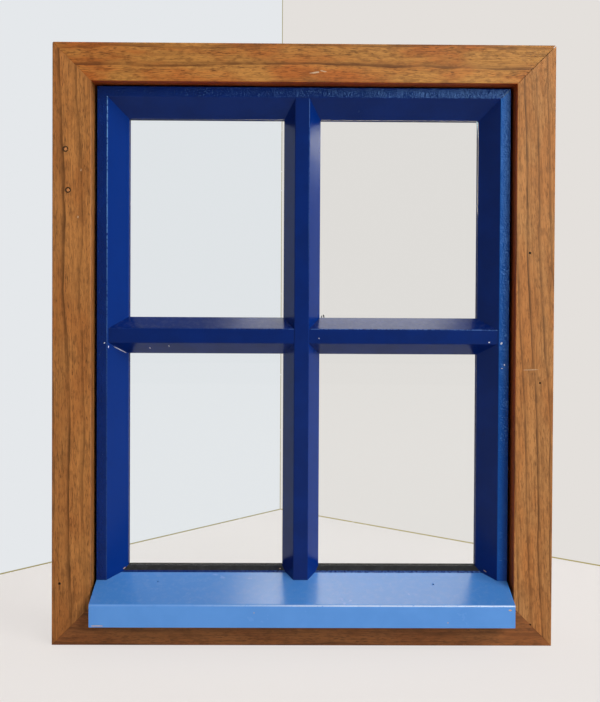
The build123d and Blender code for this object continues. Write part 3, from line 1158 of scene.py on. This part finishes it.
@dataclass
class WearMarks:
    """Chips in the paint and scuffs on the wood, each a thin irregular flake let into its face."""

    sunk: float = 0.0003
    proud: float = 0.00005
    corners: int = 11
    ragged: float = 0.16
    evenness: float = 0.4
    taper: Span = (0.86, 0.80)
    marks: tuple[Mark, ...] = (
        Mark(Coat.PRIMER, (-0.1872, -0.0030, 0.2943), LEFT_SPLAY, (0.65, 0.65, -0.42), 0.0170, 0.0010),
        Mark(Coat.PRIMER, (-0.2006, -0.0140, 0.3014), FRONT, (0.5, 0.0, 0.8), 0.0018, 0.0011),
        Mark(Coat.PRIMER, (-0.1968, -0.0126, 0.2973), LEFT_SPLAY, UP, 0.0026, 0.0012),
        Mark(Coat.PRIMER, (-0.1562, -0.0039, 0.2960), UNDER_BAR, (0.3, 0.8, -0.5), 0.0024, 0.0010),
        Mark(Coat.PRIMER, (-0.1364, -0.0075, 0.2983), UNDER_BAR, (0.2, 0.8, -0.5), 0.0034, 0.0011),
        Mark(Coat.PRIMER, (0.0159, -0.0128, 0.3069), FRONT, UP, 0.0013, 0.0009),
        Mark(Coat.PRIMER, (0.2007, -0.0140, 0.3027), FRONT, (0.4, 0.0, 1.0), 0.0032, 0.0021),
        Mark(Coat.PRIMER, (0.1883, -0.0128, 0.3036), FRONT, (1.0, 0.0, 0.5), 0.0020, 0.0012),
        Mark(Coat.PRIMER, (0.2039, -0.0140, 0.2810), FRONT, UP, 0.0020, 0.0013),
        Mark(Coat.PRIMER, (0.2014, -0.0140, 0.2774), FRONT, LEVEL, 0.0016, 0.0012),
        Mark(Coat.SCUFF, (-0.1826, 0.0016, 0.0692), LEFT_SPLAY, (0.6, 0.6, 0.35), 0.0036, 0.0012),
        Mark(Coat.SCUFF, (0.1879, -0.0037, 0.0685), RIGHT_SPLAY, (-0.6, 0.6, 0.35), 0.0042, 0.0012),
        Mark(Coat.DARK, (0.0189, 0.0060, 0.3284), FRONT, (0.3, 0.0, 1.0), 0.0036, 0.0010),
        Mark(Coat.DARK, (0.0212, 0.0060, 0.3289), FRONT, (-0.2, 0.0, 1.0), 0.0042, 0.0012),
        Mark(Coat.DARK, (0.2032, -0.0140, 0.5546), FRONT, (1.0, 0.0, 1.0), 0.0140, 0.0006),
        Mark(Coat.BARE, (-0.0226, 0.0023, 0.0688), BASE_SPLAY, LEVEL, 0.0018, 0.0012),
        Mark(Coat.SCUFF, (-0.2214, -0.0285, 0.4734), FRONT, (0.2, 0.0, 1.0), 0.0030, 0.0013),
        Mark(Coat.SCUFF, (-0.2243, -0.0285, 0.4268), FRONT, UP, 0.0030, 0.0014),
        Mark(Coat.SCUFF, (0.0100, -0.0285, 0.5712), FRONT, (1.0, 0.0, 0.12), 0.0110, 0.0018),
        Mark(Coat.SCUFF, (0.0185, -0.0285, 0.5726), FRONT, (1.0, 0.0, -0.2), 0.0070, 0.0014),
        Mark(Coat.SCUFF, (0.2270, -0.0285, 0.2771), FRONT, (1.0, 0.0, 0.04), 0.0200, 0.0008),
    )

    def build(self) -> list[Piece]:
        """Models every mark, and joins those of one finish.

        Returns:
            One piece for each finish.
        """
        made: dict[Coat, list[Piece]] = {}
        for index, mark in enumerate(self.marks):
            made.setdefault(mark.coat, []).append(self._flake(mark, index + 1))
        pieces = []
        for coat, flakes in made.items():
            piece = Bench.join(flakes, f"marks_{coat.name.lower()}")
            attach(piece, BODY)
            pieces.append(piece)
        return pieces

    def _flake(self, mark: Mark, seed: int) -> Piece:
        """Models one mark.

        Args:
            mark: Where and how large it is.
            seed: Sets its outline.

        Returns:
            The flake.
        """
        Bench.clear()
        bpy.ops.mesh.primitive_circle_add(vertices=self.corners, radius=0.5, fill_type="NGON")
        flake = bpy.context.object
        bpy.ops.object.mode_set(mode="EDIT")
        bpy.ops.mesh.select_all(action="SELECT")
        bpy.ops.transform.vertex_random(offset=self.ragged, uniform=self.evenness, seed=seed)
        middle = (0.0, 0.0, 0.0)
        bpy.ops.transform.resize(value=(mark.length, mark.width, 0.0), center_override=middle)
        height = self.sunk + self.proud
        bpy.ops.mesh.extrude_region_move(TRANSFORM_OT_translate={"value": (0.0, 0.0, height)})
        bpy.ops.transform.resize(value=(*self.taper, 1.0), center_override=middle)
        bpy.ops.mesh.select_all(action="SELECT")
        bpy.ops.mesh.normals_make_consistent(inside=False)
        bpy.ops.object.mode_set(mode="OBJECT")
        up = Vector(mark.facing).normalized()
        along = Vector(mark.along)
        along = (along - up * along.dot(up)).normalized()
        turn = Matrix((along, up.cross(along), up)).transposed().to_4x4()
        flake.matrix_world = Matrix.Translation(Vector(mark.middle) - up * self.sunk) @ turn
        return flake

    def dress(self, paintbox: Paintbox, pieces: list[Piece]) -> None:
        """Finishes the marks."""
        for piece in pieces:
            paintbox.coat(piece, Coat[piece.name.removeprefix("marks_").upper()])


@dataclass(frozen=True)
class Lamp:
    """One soft lamp: where it hangs, what it looks at, its size and its power."""

    name: str
    place: Triple
    aim: Triple
    width: float
    height: float
    power: float
    colour: Triple
    lights: bool = True
    mirrored: bool = True

    def hang(self) -> None:
        """Hangs the lamp, which is never seen itself."""
        data = bpy.data.lights.new(self.name, "AREA")
        data.shape = "RECTANGLE"
        data.size = self.width
        data.size_y = self.height
        data.energy = self.power
        data.color = self.colour
        hung = bpy.data.objects.new(self.name, data)
        turn = (Vector(self.aim) - Vector(self.place)).to_track_quat("-Z", "Y")
        hung.matrix_world = Matrix.Translation(self.place) @ turn.to_matrix().to_4x4()
        hung.visible_camera = False
        hung.visible_diffuse = self.lights
        hung.visible_glossy = self.mirrored
        hung.visible_transmission = False
        bpy.context.scene.collection.objects.link(hung)


DAYLIGHT = (1.0, 0.985, 0.95)
CLEAR_SKY = (0.60, 0.86, 1.0)
PALE_SKY = (0.74, 0.88, 1.0)
AIM = (0.0, 0.0, 0.3)
FRONT_RIGHT = (0.83, -1.85, 0.94)
NO_FOLD = (2.0, 3.0)


@dataclass
class Studio:
    """Pale floor and backdrop, soft lamps and the camera."""

    camera_place: Triple = (-0.0124, -0.9827, 0.342)
    pitch: float = 0.0146
    yaw: float = 0.0092
    roll: float = 0.0051
    lens: float = 49.17
    sensor: float = 36.0
    shift: float = -0.0475
    clip_start: float = 0.02
    floor_size: float = 9.0
    floor_tone: Colour = tone(238, 233, 230)
    floor_lift: float = 0.8
    backdrop_height: float = 0.95
    backdrop_line: tuple[Span, Span, Span] = ((-0.4512, 0.1355), (-0.0286, 0.6051), (0.4863, 0.1904))
    # Second tone of each board: painted shade in the creases at its foot and, on the left board, at the fold.
    boards: tuple[tuple, ...] = (
        ("backdrop_left", tone(229, 232, 235), tone(160, 150, 104), (-0.0300, -0.0294)),
        ("backdrop_right", tone(228, 224, 220), tone(172, 158, 104)),
    )
    # Height of the painted crease shade at the boards' foot.
    crease_shade_height: Span = (0.0014, 0.0020)
    stage_rough: float = 0.9
    stage_shine: float = 0.1
    world_level: float = 0.28
    world_seen: float = 0.5
    lamps: tuple[Lamp, ...] = (
        Lamp("key", (2.68, -2.08, 2.70), AIM, 1.8, 1.8, 100.0, DAYLIGHT),
        Lamp(
            "above_behind", (0.17, 0.95, 2.0), (0.0, 0.0, 0.2), 0.65, 0.6, 7.5, (1.0, 0.86, 0.66),
            lights=False,
        ),
        Lamp("front_right", FRONT_RIGHT, AIM, 0.6, 0.9, 26.0, CLEAR_SKY, lights=False),
        Lamp("fill_right", FRONT_RIGHT, AIM, 0.6, 0.9, 13.0, DAYLIGHT, mirrored=False),
        Lamp("right_behind", (0.40, 0.19, 0.60), (0.0, 0.0, 0.5), 0.14, 0.16, 0.05, PALE_SKY, lights=False),
        Lamp(
            "low_behind", (0.13, 0.25, 0.52), (0.1, -0.04, 0.05), 0.44, 0.2, 1.25, (1.0, 0.86, 0.60),
            lights=False,
        ),
    )

    def build(self) -> list[Piece]:
        """Makes the stage, the lamps and the camera.

        Returns:
            The floor and the backdrop.
        """
        self._camera()
        for lamp in self.lamps:
            lamp.hang()
        self._world()
        floor, backdrop = self._floor(), self._backdrop()
        return [floor, backdrop]

    def _camera(self) -> None:
        """Sets the camera where the picture was taken."""
        data = bpy.data.cameras.new("camera")
        data.lens = self.lens
        data.sensor_width = self.sensor
        data.shift_y = self.shift
        data.clip_start = self.clip_start
        camera = bpy.data.objects.new("camera", data)
        level = Euler((math.pi / 2 - self.pitch, 0.0, -self.yaw)).to_matrix()
        turn = level @ Matrix.Rotation(self.roll, 3, "Z")
        camera.matrix_world = Matrix.Translation(self.camera_place) @ turn.to_4x4()
        bpy.context.scene.collection.objects.link(camera)
        bpy.context.scene.camera = camera

    def _world(self) -> None:
        """Sets an even, dim light from all round, which is seen a little paler than it lights."""
        world = bpy.data.worlds.new("studio")
        world.use_nodes = True
        nodes = Nodes(world.node_tree)
        extra = self.world_seen - self.world_level
        strength = nodes.math("MULTIPLY_ADD", nodes.seen(), extra, self.world_level)
        nodes.feed(world.node_tree.nodes["Background"], {"Color": WHITE, "Strength": strength})
        bpy.context.scene.world = world

    def _floor(self) -> Piece:
        """Lays the floor.

        Returns:
            The floor.
        """
        Bench.clear()
        bpy.ops.mesh.primitive_plane_add(size=self.floor_size)
        floor = Bench.settle(bpy.context.object, "floor")
        floor.data.materials.append(self._pale("pale_floor", self.floor_tone, lift=self.floor_lift))
        return floor

    def _backdrop(self) -> Piece:
        """Stands two boards behind the window, which meet in a fold.

        Returns:
            The backdrop.
        """
        made = []
        for start, end, look in zip(self.backdrop_line, self.backdrop_line[1:], self.boards):
            Bench.clear()
            run = Vector(end) - Vector(start)
            place = (*(Vector(start) + run / 2), self.backdrop_height / 2)
            turn = (math.pi / 2, 0.0, math.atan2(run.y, run.x))
            bpy.ops.mesh.primitive_plane_add(size=1.0, location=place, rotation=turn)
            board = bpy.context.object
            board.scale = (run.length, self.backdrop_height, 1.0)
            board.data.materials.append(self._pale(*look))
            made.append(board)
        return Bench.join(made, "backdrop")

    def _pale(
        self, name: str, colour: Colour, crease_shade: Colour | None = None, fold: Span = NO_FOLD, lift: float = 1.0,
    ) -> bpy.types.Material:
        """Makes a pale stage material, seen from its front only.

        Args:
            name: Its name.
            colour: Its colour.
            crease_shade: Painted shade of the creases at its foot and its right end, in a yellowish tone, if
                it shows one.
            fold: Where the painted crease shade at its right end begins, and where it is full.
            lift: Share of an even tone in what is seen, mirrored or seen through glass.

        Returns:
            The material.
        """
        nodes = Canvas(name)
        look = {"Base Color": colour, "Roughness": self.stage_rough, "Specular IOR Level": self.stage_shine}
        nodes.feed(nodes.shader, look)
        shown: Colour | Socket = colour
        if crease_shade is not None:
            across, _, up = nodes.parts(nodes.place)
            # Painted shade in the creases along the foot and at the fold.
            away = nodes.times(nodes.spread(up, self.crease_shade_height), nodes.spread(across, fold, FALL))
            shown = nodes.mix(away, crease_shade, colour)
        even = nodes.add("ShaderNodeEmission", {"Color": shown}).outputs[0]
        lit = nodes.blend(nodes.times(nodes.seen(), lift), nodes.shader.outputs[0], even)
        behind = nodes.read("ShaderNodeNewGeometry")["Backfacing"]
        clear = nodes.read("ShaderNodeBsdfTransparent")[0]
        nodes.feed(nodes.end, {"Surface": nodes.blend(behind, lit, clear)})
        return nodes.material


def main() -> None:
    """Builds and finishes everything in order."""
    logging.basicConfig(level=logging.INFO, format="%(name)s: %(message)s")
    bpy.context.scene.view_settings.view_transform = "Standard"
    paintbox = Paintbox()
    for assembly in (Surround(), Joinery(), Glazing(), WearMarks()):
        pieces = assembly.build()
        assembly.dress(paintbox, pieces)
        for piece in pieces:
            LOG.info("piece %s: %d faces", piece.name, len(piece.data.polygons))
    for stage in Studio().build():
        LOG.info("stage %s", stage.name)


if __name__ == "__main__":
    main()
